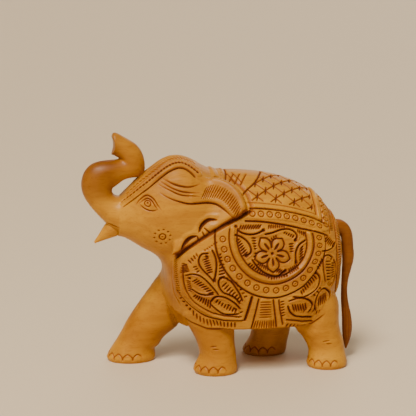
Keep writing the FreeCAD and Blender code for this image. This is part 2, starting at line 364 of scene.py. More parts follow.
# ------------------------------------------------------------------ saddle cloth, pattern in (u, s)
cloth = Relief((-48, -1), (80, 136))
MEDAL = np.array([22.7, 44.6])

# level band under the saddle, with its row of ring punches
BAND = smooth([(9.5, 30.9), (18, 31.0), (28, 30.7), (37, 31.2), (45.5, 32.6), (52, 34.0)])
cloth.ridge(BAND, 5.6, 0.6, 0.8)
cloth.line(smooth([(9, 28.6), (18, 28.3), (32, 28.4), (45, 29.2), (53, 30.4)]), 1.1, 0.85)
cloth.line(smooth([(9, 35.1), (18, 35.1), (30, 35.9), (40, 37.0), (47, 38.1), (55, 39.4)]), 1.3, 1.0)
for p in even(smooth([(12.8, 31.2), (28, 31.0), (37, 31.5), (49.5, 33.6)]), 9)[0]:
    cloth.punch(p)
cloth.ridge(smooth([(9, 27.0), (20, 26.9), (32, 26.9), (48.5, 27.6)]), 2.0, 0.55, 0.8)
cloth.line(smooth([(9, 25.1), (20, 25.2), (32, 25.3), (48, 26.0)]), 0.8, 0.45)

# behind the saddle: two plain straps and a column of punches, up over the back
cloth.ridge([(50.0, 28), (50.3, -1)], 2.2, 1.0, 0.8)
cloth.line([(48.4, 26.0), (48.6, -1)], 0.9, 0.6)
cloth.line([(51.9, 29.5), (52.1, -1)], 1.0, 0.7)
cloth.ridge([(54.3, 33.5), (54.6, -1)], 3.6, 0.6, 0.8)
for p in even([(54.2, 31.5), (54.6, 2.5)], 7)[0]:
    cloth.punch(p)
cloth.line([(56.9, 37.0), (57.2, -1)], 1.0, 0.7)
comb(cloth, np.array([(58.9, 33.0), (59.3, -1)]), 2.4, 1.5, slant=0.6)
cloth.line([(60.8, 30.0), (61.2, -1)], 0.9, 0.6)

# the saddle: a diagonal lattice with an upright cut through every crossing
cloth.line(smooth([(22.2, -1), (21.0, 4.0), (16.8, 12.5), (9.6, 20.0), (8.6, 24.5)]), 1.1, 0.75)
ACROSS = 5.0
DOWN = 4.0


def on_saddle(p):
    front = np.interp(p[1], [0, 4, 12.5, 20, 25], [22, 21, 16.8, 9.6, 8.6])
    return front + 0.6 < p[0] < 47.6 and -1 < p[1] < 24.3


for i in range(-3, 12):
    for j in range(-2, 8):
        knot = np.array([11.5 + ACROSS * i, 1.5 + DOWN * (i % 2) + 2 * DOWN * j])
        for rise in (DOWN, -DOWN):
            steps = np.linspace(knot, knot + [ACROSS, rise], 8)
            steps = [p for p in steps if on_saddle(p)]
            if len(steps) > 1:
                cloth.line([steps[0], steps[-1]], 0.9, 0.6)
        if on_saddle(knot):
            cloth.stroke(knot + [0.8, -2.6], knot + [-0.5, 2.6], 1.0, 0.8)
for i in range(6):
    for slope in (1, -1):
        a = np.array([2.0 + 3.4 * i, 10.0 - 4.5 * slope])
        b = a + [4.2, 8.0 * slope]
        if b[0] < np.interp(b[1], [0, 20], [20, 9]) and a[0] < np.interp(a[1], [0, 20], [20, 9]):
            cloth.line([a, b], 0.9, 0.6)

# collar between head and saddle
cloth.line(smooth([(-8.4, -1), (-9.0, 8.0), (-11.8, 17.0), (-14, 22)]), 1.0, 0.7)
cloth.line(smooth([(2.6, -1), (1.8, 8.0), (0.0, 15.0), (-2.4, 22)]), 1.0, 0.7)
cloth.ridge(smooth([(-2.6, -1), (-3.4, 8.0), (-5.4, 15.0), (-8, 22)]), 8.0, 0.6, 1.2)
for p in even(smooth([(-6.2, 0.5), (-6.8, 8.0), (-9, 16.0)]), 7)[0]:
    cloth.dot(p, 0.6, 0.5)
for p in even(smooth([(0.2, 0.5), (-0.6, 8.0), (-2.6, 16.0)]), 7)[0]:
    cloth.dot(p, 0.6, 0.5)

# medallion: a punched border, a round plain moulding, and a flower among curled leaves
cloth.ridge(arc_of(MEDAL, 26.2, -12, 192), 7.0, 0.5, 0.9)
cloth.ridge(arc_of(MEDAL, 20.9, -14, 194), 1.5, 1.15, 1.9)
cloth.line(arc_of(MEDAL, 30.3, -12, 192, 70), 1.15, 0.9)
cloth.line(arc_of(MEDAL, 22.9, -13, 193), 1.0, 0.8)
cloth.line(arc_of(MEDAL, 18.8, -17, 197), 1.0, 0.8)
for a in np.radians(np.linspace(-6, 180, 17)):
    cloth.punch(MEDAL + 26.2 * np.array([math.cos(a), math.sin(a)]))

BLOOM = np.array([22.3, 51.4])
PETAL = [
    [(2.6, -1.9), (5.0, -3.1), (7.6, -2.7), (9.9, 0.3)],
    [(9.9, 0.3), (8.0, 2.6), (5.2, 3.1), (2.6, 1.7)],
]
cloth.dot(BLOOM, 1.0, 0.95)
for k in range(5):
    a = math.radians(15 + 72 * k)
    way = np.array([math.cos(a), math.sin(a)])
    side = np.array([-way[1], way[0]])
    cloth.ridge([BLOOM + way * 4.4, BLOOM + way * 7.0], 3.0, 0.55, 2.2)
    for half in PETAL:
        cloth.line(smooth([BLOOM + way * p + side * q for p, q in half]), 1.0, 0.85)
    cloth.stroke(BLOOM + way * 2.6, BLOOM + way * 6.4, 1.7, 0.85)

# Curled leaves: the points of the outline, whether a drilled eye ends it.
LEAVES = [
    # in the medallion
    ([(4.5, 40.0), (7.0, 41.4), (11.0, 42.0), (15.0, 41.2), (18.2, 39.4)], True),
    (
        [(19.0, 41.6), (23.0, 40.5), (27.0, 38.8), (31.0, 38.0),
         (34.2, 38.8), (36.0, 41.2), (35.0, 43.8)],
        True,
    ),
    ([(3.0, 42.4), (6.2, 43.4), (9.2, 45.6), (10.9, 48.6), (10.8, 51.2), (8.4, 52.9)], True),
    ([(40.4, 43.6), (37.6, 45.6), (35.8, 48.2), (34.8, 51.6), (34.9, 56.2)], True),
    ([(11.6, 55.0), (14.0, 58.2), (17.5, 61.2), (21.2, 62.8), (25.2, 63.0), (29.0, 60.4)], True),
    # front panel
    ([(-9.2, 50.8), (-7.8, 54.0), (-7.2, 58.0), (-7.5, 62.5), (-8.4, 67.5)], True),
    (
        [(-11.6, 52.6), (-14.6, 53.2), (-16.2, 56.2), (-16.0, 59.8),
         (-14.0, 63.0), (-11.2, 65.6), (-8.6, 68.2)],
        False,
    ),
    (
        [(-23.4, 67.4), (-20.4, 66.0), (-17.0, 66.3), (-13.8, 67.7),
         (-11.0, 70.0), (-8.2, 72.6), (-6.4, 74.6)],
        False,
    ),
    ([(-20.0, 77.0), (-16.2, 78.2), (-12.6, 77.4), (-9.0, 75.4)], False),
    (
        [(-9.8, 79.8), (-8.2, 77.0), (-5.6, 75.5), (-2.8, 75.3),
         (0.2, 76.6), (3.0, 78.5), (5.2, 80.8)],
        False,
    ),
    ([(-10.0, 82.0), (-5.2, 84.2), (0.0, 84.5), (4.2, 83.8)], False),
    (
        [(-1.6, 65.0), (-4.4, 65.0), (-6.1, 67.2), (-5.8, 70.2),
         (-4.0, 72.6), (-1.0, 73.6), (2.5, 75.2), (5.0, 78.0)],
        False,
    ),
    ([(-1.6, 65.6), (0.4, 66.6), (2.6, 69.4), (4.8, 72.8), (6.4, 76.4)], False),
    # rear panel
    ([(50.2, 51.0), (54.0, 51.2), (57.6, 49.6), (60.2, 46.2), (61.2, 42.0)], False),
    (
        [(57.6, 57.6), (55.0, 55.0), (52.2, 55.0), (50.8, 58.0),
         (50.7, 63.0), (51.3, 68.0), (52.4, 75.0)],
        False,
    ),
    (
        [(33.6, 75.6), (38.0, 76.6), (43.2, 76.8), (47.0, 75.2),
         (48.4, 71.6), (48.0, 67.6), (46.0, 64.6)],
        True,
    ),
    (
        [(31.4, 77.6), (35.0, 76.9), (38.4, 77.2), (41.0, 79.0),
         (43.4, 82.0), (44.6, 85.4), (43.2, 88.0)],
        True,
    ),
    ([(30.8, 80.6), (32.0, 84.0), (34.6, 87.0), (38.2, 88.8), (41.6, 91.0), (44.8, 94.0)], False),
    (
        [(47.0, 92.0), (46.2, 86.0), (47.4, 81.0), (49.6, 78.6),
         (52.0, 79.6), (54.2, 83.2), (56.2, 88.0), (56.8, 93.0)],
        False,
    ),
    ([(58.6, 60.0), (60.4, 66.0), (60.6, 73.0), (59.0, 80.0), (57.4, 84.0)], False),
]
for outline, _ in LEAVES:
    curve = smooth(outline)
    for side in (1.0, -1.0):
        cloth.ridge(offset(curve, side), 1.1, 0.45, 1.1)
for outline, eye in LEAVES:
    curve = smooth(outline)
    cloth.line(curve, 1.1, 0.95)
    if eye:
        cloth.dot(curve[-1], 1.05, 1.1)
        cloth.dot(curve[-2], 0.9, 1.0)

# Rows of strokes: the first stroke, the last stroke, how many.
STROKES = [
    # in the medallion
    ([(5.4, 39.8), (6.6, 37.2)], [(15.2, 39.0), (17.2, 36.6)], 9),
    ([(21.0, 38.6), (21.4, 36.4)], [(29.2, 37.4), (29.4, 36.4)], 8),
    ([(36.8, 39.4), (36.8, 37.6)], [(41.0, 41.6), (41.0, 38.6)], 5),
    ([(29.0, 40.6), (29.8, 39.6)], [(33.4, 42.6), (34.4, 41.0)], 5),
    ([(20.6, 44.0), (22.0, 45.4)], [(24.6, 41.6), (24.8, 43.0)], 4),
    ([(3.4, 45.8), (5.2, 44.4)], [(6.6, 53.2), (9.2, 50.8)], 7),
    ([(11.6, 43.7), (13.8, 43.8)], [(12.6, 49.2), (14.0, 49.2)], 5),
    ([(31.4, 46.2), (34.0, 45.8)], [(31.8, 50.2), (33.6, 50.0)], 4),
    ([(39.2, 46.8), (37.4, 48.8)], [(38.8, 54.6), (36.8, 56.6)], 6),
    ([(14.2, 57.6), (15.4, 56.4)], [(19.6, 60.4), (19.8, 58.2)], 6),
    ([(9.4, 57.8), (10.6, 56.6)], [(20.0, 64.4), (20.6, 62.8)], 10),
    ([(21.6, 65.0), (21.8, 63.6)], [(30.0, 63.6), (29.4, 62.2)], 7),
    ([(24.2, 61.2), (26.4, 59.4)], [(26.4, 62.0), (28.2, 60.4)], 3),
    ([(31.0, 59.4), (31.8, 62.2)], [(35.0, 57.2), (36.0, 60.0)], 5),
    ([(12.2, 53.4), (13.6, 53.0)], [(12.8, 51.6), (14.0, 51.4)], 2),
    # front panel
    ([(-14.2, 56.8), (-11.2, 55.2)], [(-12.0, 64.0), (-9.2, 62.6)], 7),
    ([(-25.6, 57.0), (-22.8, 59.0)], [(-26.6, 65.6), (-21.6, 63.8)], 6),
    ([(-22.4, 55.2), (-20.6, 58.2)], [(-17.8, 52.0), (-17.0, 54.6)], 4),
    ([(-19.6, 61.2), (-17.6, 60.6)], [(-17.6, 64.6), (-16.2, 63.4)], 3),
    ([(-20.2, 71.6), (-17.2, 68.8)], [(-11.2, 75.8), (-8.6, 74.0)], 8),
    ([(-23.2, 71.8), (-21.0, 71.6)], [(-22.2, 79.2), (-20.2, 78.6)], 6),
    ([(-19.4, 82.4), (-17.8, 79.8)], [(-10.4, 84.6), (-10.0, 79.4)], 8),
    ([(-7.4, 79.8), (-6.4, 77.6)], [(2.6, 83.4), (3.6, 80.8)], 8),
    ([(-4.4, 70.0), (-2.0, 67.2)], [(4.4, 77.4), (6.2, 75.6)], 8),
    ([(-5.8, 58.6), (-3.0, 57.6)], [(-6.0, 65.4), (-2.8, 63.8)], 5),
    ([(-5.6, 53.2), (-4.6, 52.2)], [(-5.8, 56.6), (-4.0, 55.6)], 3),
    ([(-1.4, 79.0), (0.0, 79.6)], [(5.2, 83.4), (6.6, 82.4)], 3),
    ([(2.2, 66.8), (3.6, 67.2)], [(7.2, 74.4), (8.8, 74.0)], 5),
    # rear panel
    ([(52.0, 44.2), (55.6, 39.8)], [(57.4, 49.0), (60.4, 43.4)], 6),
    ([(52.6, 59.0), (56.8, 60.8)], [(53.2, 73.4), (56.6, 76.4)], 7),
    ([(37.6, 72.6), (38.6, 75.2)], [(44.8, 65.6), (46.8, 69.4)], 8),
    ([(46.8, 60.6), (48.4, 63.0)], [(49.2, 56.0), (50.2, 58.6)], 4),
    ([(33.2, 80.0), (34.6, 84.6)], [(40.2, 81.0), (41.4, 86.2)], 6),
    ([(48.4, 82.6), (49.0, 90.8)], [(52.6, 83.6), (54.4, 92.6)], 5),
    ([(45.2, 78.4), (46.2, 80.2)], [(48.4, 76.2), (49.4, 77.6)], 3),
    ([(54.2, 79.0), (55.6, 77.4)], [(57.0, 84.0), (58.4, 81.8)], 4),
    ([(57.2, 62.4), (59.2, 63.6)], [(57.0, 75.4), (59.4, 76.2)], 7),
    ([(45.0, 91.0), (46.2, 88.4)], [(39.6, 86.8), (41.0, 85.4)], 3),
    ([(47.6, 94.6), (48.2, 92.8)], [(56.0, 97.2), (55.6, 94.8)], 6),
]
for first, last, count in STROKES:
    cloth.hatch(first, last, count, 1.05, 0.8)
for p in ((3.7, 38.0), (-12.2, 54.4), (-21.6, 69.2), (57.0, 58.6)):
    cloth.dot(p, 1.05, 0.9)
for p in even([(-13.0, 50.8), (-6.8, 46.4)], 6)[0]:
    cloth.dot(p, 0.65, 0.6)

# the tassel below the medallion
cloth.line([(15.0, 75.6), (11.8, 91.8)], 1.1, 0.85)
cloth.line([(22.8, 76.2), (25.2, 91.8)], 1.1, 0.85)
cloth.ridge([(18.6, 77.5), (18.6, 91)], 6.0, 0.5, 1.0)
cloth.hatch([(15.8, 77.0), (21.6, 77.0)], [(15.6, 85.4), (21.9, 85.4)], 7, 0.9, 0.6)
cloth.hatch([(14.0, 87.4), (13.0, 92.2)], [(23.2, 87.4), (23.8, 92.2)], 9, 0.9, 0.65)
cloth.line(smooth([(11.4, 74.4), (10.0, 80.0), (8.2, 86.6)]), 1.6, 1.1)
cloth.line(smooth([(25.8, 76.4), (26.6, 82.0), (28.6, 91.0)]), 1.0, 0.75)
cloth.hatch([(26.6, 77.6), (28.6, 77.4)], [(27.6, 85.8), (29.4, 85.4)], 6, 1.0, 0.75)

# frames of the two lower panels: a cut, a plain strip, and a comb of strokes at the hem
FRONT_IN = smooth(
    [
        (-25.2, 60), (-25.0, 70), (-24.2, 77), (-22.4, 82),
        (-18.6, 85.6), (-10, 86.6), (-3.6, 85.5), (6, 85.4),
    ]
)
FRONT_OUT = smooth([(-29.0, 84), (-26.0, 88.6), (-20.0, 90.4), (-12.0, 90.4), (-4.0, 88.4), (8.4, 87.2)])
REAR_IN = smooth(
    [
        (30.4, 88.6), (36.0, 90.6), (40.6, 93.4), (45.6, 97.2),
        (51.0, 99.6), (56.8, 99.2), (61.6, 101),
    ]
)
cloth.line(FRONT_IN, 1.0, 0.75)
cloth.line(FRONT_OUT, 1.0, 0.8)
cloth.line(REAR_IN, 1.0, 0.75)
cloth.ridge(offset(FRONT_IN, 1.4), 1.4, 0.5, 0.9)
cloth.ridge(offset(REAR_IN, 1.2), 1.0, 0.5, 0.9)
comb(cloth, smooth([(-30.2, 40), (-30.4, 52), (-30.2, 64), (-29.4, 76), (-27.4, 86)]), 3.0, 2.3, 1.0, 0.7)
FRONT_HEM = smooth([(-26.0, 91.4), (-20.0, 93.6), (-12.0, 93.4), (-5.0, 91.0), (3.0, 90.2)])
comb(cloth, FRONT_HEM, 3.0, 1.7, 1.1, 0.75)
comb(cloth, smooth([(31.0, 92.0), (36.0, 94.4), (41.0, 97.6), (47.0, 100.6)]), 2.6, 1.7, 1.1, 0.75)
cloth.line(smooth([(-33.0, 36), (-33.4, 52), (-33.2, 66), (-32.4, 80), (-30.6, 92), (-26.0, 98)]), 1.0, 0.6)

# rump: the cloth's rear border, up one side of the tail, over it and down the other
cloth.ridge([(65.0, -1), (65.0, 104)], 4.2, 0.6, 0.8)
cloth.line([(62.5, -1), (62.5, 104)], 1.1, 0.85)
cloth.line([(67.5, -1), (67.5, 104)], 1.1, 0.85)
comb(cloth, np.array([(65.0, 0.0), (65.0, 103.0)]), 3.4, 2.9, 1.5, 0.7)

# ------------------------------------------------------------------ head and ears, pattern in (x, z)
face = Relief((-78, -2), (12, 120))
FOLD = smooth(
    [
        (-34.8, 97.9), (-30, 95.3), (-25, 93.6), (-19.9, 92.5), (-11.8, 92.5),
        (-6.5, 91.8), (-3.2, 89.9), (-0.5, 87.6), (2.6, 84.4),
    ]
)
face.ridge(offset(FOLD[20:], 3.2), 4.6, 0.6, 1.3)
face.line(FOLD, 1.2, 0.95, taper=True)
FRINGE_IN = smooth([(-13.9, 94.7), (-8.9, 94.5), (-4.9, 94.3), (-1.1, 92.0), (1.1, 88.6), (3.3, 85.6)])
FRINGE_OUT = smooth([(-10.0, 100.2), (-6.3, 101.2), (-2.5, 100.2), (1.2, 98.1), (4.3, 94.4), (5.8, 90.0)])
for a, b in zip(even(FRINGE_IN, 19)[0], even(FRINGE_OUT, 19)[0]):
    face.stroke(a, b, 0.68, 0.6)
# the two hollows where the ear folds
for curve in (
    [(-24.2, 67.4), (-23.4, 70.6), (-21.6, 73.2), (-19.2, 74.9), (-16.3, 75.6)],
    [(-15.4, 77.4), (-14.3, 80.4), (-12.4, 82.6), (-9.8, 84.0), (-6.0, 84.0)],
):
    face.line(smooth(curve), 2.1, 1.5, taper=True)
    face.ridge(offset(smooth(curve), -3.0), 2.0, 0.5, 3.0)
    face.ridge(offset(smooth(curve), 2.2), 1.2, 0.4, 2.0)
for a, b in (((-16.3, 75.7), (-15.3, 71.6)), ((-13.7, 77.9), (-12.2, 74.4)), ((-12.8, 79.9), (-9.1, 76.5))):
    face.stroke(a, b, 1.0, 0.8)
# temple
face.ridge([(-29.5, 104.0), (-24, 104.8), (-18.5, 104.0)], 1.5, 0.9, 5.0)
for curve, wide in (
    ([(-33.0, 105.0), (-28.5, 102.7), (-24.5, 101.5), (-19.4, 100.9), (-13.4, 101.9)], 1.1),
    ([(-34.6, 103.8), (-29.6, 100.9), (-24.8, 99.0), (-19.6, 98.1), (-13.8, 97.7)], 0.9),
    ([(-35.4, 102.0), (-29.7, 99.3), (-24.9, 97.2), (-19.7, 96.5), (-14.2, 95.9)], 0.85),
):
    face.line(smooth(curve), wide, 0.75, taper=True)
# eye
face.ridge([(-44.2, 91.9), (-41.0, 92.9), (-38.2, 91.4)], 1.5, 0.7, 3.2)
for curve in (
    [(-47.0, 90.9), (-44.8, 94.0), (-41.4, 96.4), (-38.4, 95.0), (-36.4, 92.0), (-34.4, 88.9)],
    [(-45.0, 92.0), (-43.0, 93.9), (-41.0, 94.9), (-39.0, 93.7), (-37.5, 91.3), (-36.3, 89.3)],
    [(-45.2, 92.1), (-43.2, 90.0), (-41.0, 88.9), (-38.6, 88.7), (-36.0, 89.5)],
):
    face.line(smooth(curve), 0.9, 0.75, taper=True)
face.ring((-41.0, 92.3), 1.5, 0.7, 0.65)
face.dot((-41.0, 92.6), 0.65, 0.7)
# rosette on the cheek
ROSE = np.array([-33.8, 74.8])
face.ring(ROSE, 1.6, 0.85, 0.65)
face.dot(ROSE, 0.55, 0.5)
for a in np.radians(np.arange(10) * 36 + 12):
    face.dot(ROSE + 4.0 * np.array([math.cos(a), math.sin(a)]), 0.62, 0.6)
# mouth
face.line(smooth([(-61.0, 80.6), (-58.0, 79.4), (-54.6, 78.2)]), 0.8, 0.7, taper=True)

# ------------------------------------------------------------------ headpiece, pattern in (x, s)
crown = Relief((-58, -1), (-4, 34))
BEADS = smooth(
    [
        (-55, 17.0), (-51.6, 15.9), (-46.7, 15.8), (-40.5, 14.6), (-34.7, 12.3),
        (-29.6, 10.6), (-25, 9.6), (-19.7, 10.4), (-14.4, 13.6),
    ]
)
crown.ridge(BEADS, 5.0, 0.7, 1.0)
BELOW_BEADS = smooth(
    [
        (-54, 23.4), (-47.5, 21.4), (-41.4, 19.6), (-35.1, 16.5),
        (-28.6, 13.9), (-23.3, 13.0), (-18.4, 14.8), (-13.2, 20.2),
    ]
)
ABOVE_BEADS = smooth(
    [
        (-53, 12.4), (-43.8, 11.6), (-38.7, 10.8), (-33.3, 8.6),
        (-27.8, 7.0), (-23.5, 6.6), (-17.9, 7.8), (-13.5, 10.4),
    ]
)
crown.line(BELOW_BEADS, 1.3, 1.0)
crown.line(ABOVE_BEADS, 1.0, 0.75)
for p in even(BEADS, 27)[0]:
    crown.dot(p, 0.92, 0.95)
comb(crown, smooth([(-50, 8.6), (-38, 8.0), (-30, 5.0), (-23, 4.3), (-15, 5.4)]), 2.4, 1.5, 0.9, 0.6, 0.6)
crown.line(smooth([(-50, 5.0), (-38, 4.4), (-30, 2.4), (-23, 1.9), (-15, 2.6)]), 0.8, 0.5)
crown.ridge([(-50, 0), (-13, 0)], 1.2, 0.3, 1.4)

# ------------------------------------------------------------------ nails, pattern in (arc, z)
nails = Relief((-2, -1), (60, 22))
NAIL = 4.9
for k in range(9):
    a = k * NAIL
    rim = smooth([(a, 2.0), (a + 0.4, 3.6), (a + 2.45, 5.1), (a + 4.5, 3.6), (a + NAIL, 2.0)])
    nails.line(rim, 0.85, 0.5)
    nails.ridge([(a + 1.6, 2.2), (a + 3.3, 2.2)], 1.0, 0.35, 2.0)
# two creases of the ankle
nails.stroke((5.6, 16.3), (9.4, 15.8), 0.8, 0.5)
nails.stroke((4.4, 14.4), (7.6, 14.5), 0.8, 0.5)

# ------------------------------------------------------------------ carving the block
# The ear's own axes: u level along its lower side, v up, w out of its face.
FLARE = math.radians(22)
LEAN = math.radians(20)
EAR_ROOT = (-25.8, -12.0, 62.0)
EAR_MID = (18.9, 23.2)
EAR_RADIUS = 19.4
EAR_FACE = 10.6
EAR_RISE = math.atan2(25.6, 37.4)
about_z = np.array(Matrix.Rotation(-FLARE, 3, "Z"))
about_x = np.array(Matrix.Rotation(-LEAN, 3, "X"))


def on_ear(co):
    near = np.stack([co[:, 0], -np.abs(co[:, 1]), co[:, 2]], 1) - EAR_ROOT
    return (near @ about_z @ about_x).T * np.array([[1], [-1], [1]])


# Sand down the crease where the ear runs into the cheek, the flat on the chest and the shoulder.
co = coords(block.data)
s_head, off_head = unroll(co, SKULL, HEAD_GIRTH)
ear_u, ear_w, ear_v = on_ear(co)
from_mid = np.hypot(ear_u - EAR_MID[0], ear_v - EAR_MID[1])
crease = (np.abs(ear_w - EAR_FACE) < 1.6) & (np.abs(off_head) < 2.6) & (from_mid < EAR_RADIUS + 0.1)
co = relax(block.data, co, crease & (ear_v > ear_u * math.tan(EAR_RISE) + 1.2), EAR_ROUNDS)
chest = (co[:, 0] < -22.5) & (np.abs(co[:, 1]) < 17) & (co[:, 2] > 34) & (co[:, 2] < 65)
chest &= (co[:, 1] < 2) | (co[:, 2] > 50 - 0.4 * co[:, 1])
co = relax(block.data, co, chest, CHEST_ROUNDS)
shoulder = (co[:, 0] < -19) & (np.abs(co[:, 1]) < 20) & (co[:, 2] > 38) & (co[:, 2] < 66)
co = relax(block.data, co, shoulder, SHOULDER_ROUNDS)
set_coords(block.data, co)

co = coords(block.data)
no = normals(block.data)
x, y, z = co.T
lift = np.zeros(len(co))
stain_and_shade = np.zeros(len(co))


def carve(relief, u, v, where, plain=0.0):
    """Cuts a pattern into the vertices that where marks. Stain and painted shade fill the cuts and darken
    their edges.
    """
    cut = sample(relief, relief.down, u, v)
    edge_stain_and_shade = sample(relief, spread(relief.down), u, v)
    lift[:] += where * (plain + sample(relief, relief.up, u, v) - cut)
    stain_and_shade[:] = np.maximum(stain_and_shade, where * (cut / FULL_STAIN_AND_SHADE_AT + 0.55 * edge_stain_and_shade))


u_body = np.interp(x, BODY[0], paces)
s_body, off_body = unroll(co, BODY, TORSO_GIRTH)
s_head, off_head = unroll(co, SKULL, HEAD_GIRTH)

ear_u, ear_w, ear_v = on_ear(co)
below_ear = ear_u * math.sin(EAR_RISE) - ear_v * math.cos(EAR_RISE)
along_ear = ear_u * math.cos(EAR_RISE) + ear_v * math.sin(EAR_RISE)
in_disc = EAR_RADIUS - np.hypot(ear_u - EAR_MID[0], ear_v - EAR_MID[1])
in_ear = ramp_up(ear_w, 3.0, 5.0) * ramp_up(in_disc, -0.6, 0.2) * (1 - ramp_up(below_ear, 0.2, 0.7))

# Cloth: the body's own surface above the hem and behind the cheeks.
HEM_X = [-30, -25, -19.6, -11.5, 3, 35, 45, 55, 62]
HEM_Z = [37, 32.5, 29.6, 26.6, 25.6, 25.4, 26.6, 33.0, 40.0]
hem = np.interp(x, HEM_X, HEM_Z)
is_cloth = (1 - ramp_up(np.abs(off_body), 1.2, 2.2)) * (1 - in_ear)
is_cloth *= ramp_up(z, hem - 0.2, hem + 0.3) * (1 - ramp_up(-x, 12, 18) * ramp_up(z, 64, 70))
is_cloth *= ramp_up(x, -29.0, -25.8) * (1 - ramp_up(u_body, 68.3, 70.0))
carve(cloth, u_body, s_body, is_cloth, CLOTH_LIFT)

# The deep cut under the ear, and the hollow behind its round rim, both darkened with painted shade.
near_edge = ramp_up(along_ear, -0.5, 2.0) * (1 - ramp_up(along_ear, 46.0, 48.0)) * ramp_up(ear_w, 0, 3)
under = np.clip(1 - ((below_ear - 0.9) / 1.5) ** 2, 0, 1) * near_edge
behind = np.clip(1 - ((in_disc + 1.3) / 1.3) ** 2, 0, 1) * ramp_up(ear_u, 22, 28) * (1 - in_ear)
behind *= (below_ear < 1.0) * (ear_w < 11.4)
lift -= UNDERCUT * under * (below_ear > 0.2) + 0.7 * behind
# Painted shade on the ear's lower side face, the cut under it and the hollow behind the rim.
stain_and_shade = np.maximum(stain_and_shade, np.maximum(under, 0.5 * behind))

# Face and ears.
is_face = np.maximum(in_ear, (1 - ramp_up(x, -14, -11)) * ramp_up(z, 60, 63)) * (1 - is_cloth)
carve(face, x, z, is_face * ramp_up(np.abs(no[:, 1]), 0.12, 0.3))
is_crown = (1 - ramp_up(np.abs(off_head), 1.5, 2.6)) * (1 - ramp_up(x, -13, -10)) * ramp_up(x, -55, -52)
is_crown *= (1 - in_ear) * ramp_up(z, 88, 91)
carve(crown, x, s_head, is_crown)

# Nails: the middle of each sole, and half its length and width.
for mid_x, mid_y, long, wide in (
    (-5.3, -16.0, 11.6, 10.4),
    (-45.9, 16.0, 13.2, 10.4),
    (56.0, -16.0, 10.8, 10.2),
    (28.8, 16.0, 12.1, 10.2),
):
    turn = np.arctan2((abs(mid_y) - np.abs(y)) / wide, -(x - mid_x) / long)
    near = 1 - ramp_up(np.hypot((x - mid_x) / long, (y - mid_y) / wide), 1.15, 1.3)
    near *= (1 - ramp_up(z, 18, 20)) * (1 - ramp_up(np.abs(turn), 1.85, 1.98))
    carve(nails, (turn + 1.96) * 11.25, z, near)

# The legs and belly stand back from the hem, and a painted shadow lies just under its edge.
at_hem = (1 - ramp_up(np.abs(off_body), 2.5, 5.0)) * ramp_up(x, -29, -25) * (np.abs(no[:, 2]) < 0.8)
at_hem *= 1 - ramp_up(u_body, 66.0, 69.0)
lift -= HEM_STEP * (1 - ramp_up(z, hem - 0.4, hem + 0.1)) * ramp_up(z, 12, 24) * at_hem
# A painted shadow line along the underside of the hem's step.
edge = np.clip(1 - ((z - hem + 0.5) / 0.8) ** 2, 0, 1) * at_hem
stain_and_shade = np.maximum(stain_and_shade, 0.8 * edge)

co = co + no * lift[:, None]
co[:, 2] = np.maximum(co[:, 2], 0)
co[z < 0.25, 2] = 0
set_coords(block.data, co)
set_layer(block.data, "stain_and_shade", stain_and_shade)
# Darker towards the top of the trunk's tip.
set_layer(block.data, "deep", 0.75 * ramp_up(-x, 50, 60) * ramp_up(z, 88, 100))

# Tail: darkened all over with painted shade, with the hairs of the tuft and of the root scored into it.
co = coords(tail.data)
no = normals(tail.data)
x, y, z = co.T
turn = np.arctan2(y - np.interp(z, [5, 22, 40, 72], [-5.0, -3.8, -2.4, -0.4]), x - 69.8)
hairs = np.clip(np.sin(turn * 9 + 0.35 * np.sin(z * 0.5)), 0, 1) ** 2
hairs *= (1 - ramp_up(z, 26, 33)) * ramp_up(z, 5.5, 8)
set_coords(tail.data, co - no * (0.28 * hairs)[:, None])
set_layer(tail.data, "stain_and_shade", 0.45 * hairs)
# Painted shade over the whole tail.
set_layer(tail.data, "deep", np.ones(len(co)))
count = len(lip.data.vertices)
set_layer(lip.data, "stain_and_shade", np.zeros(count))
set_layer(lip.data, "deep", np.zeros(count))


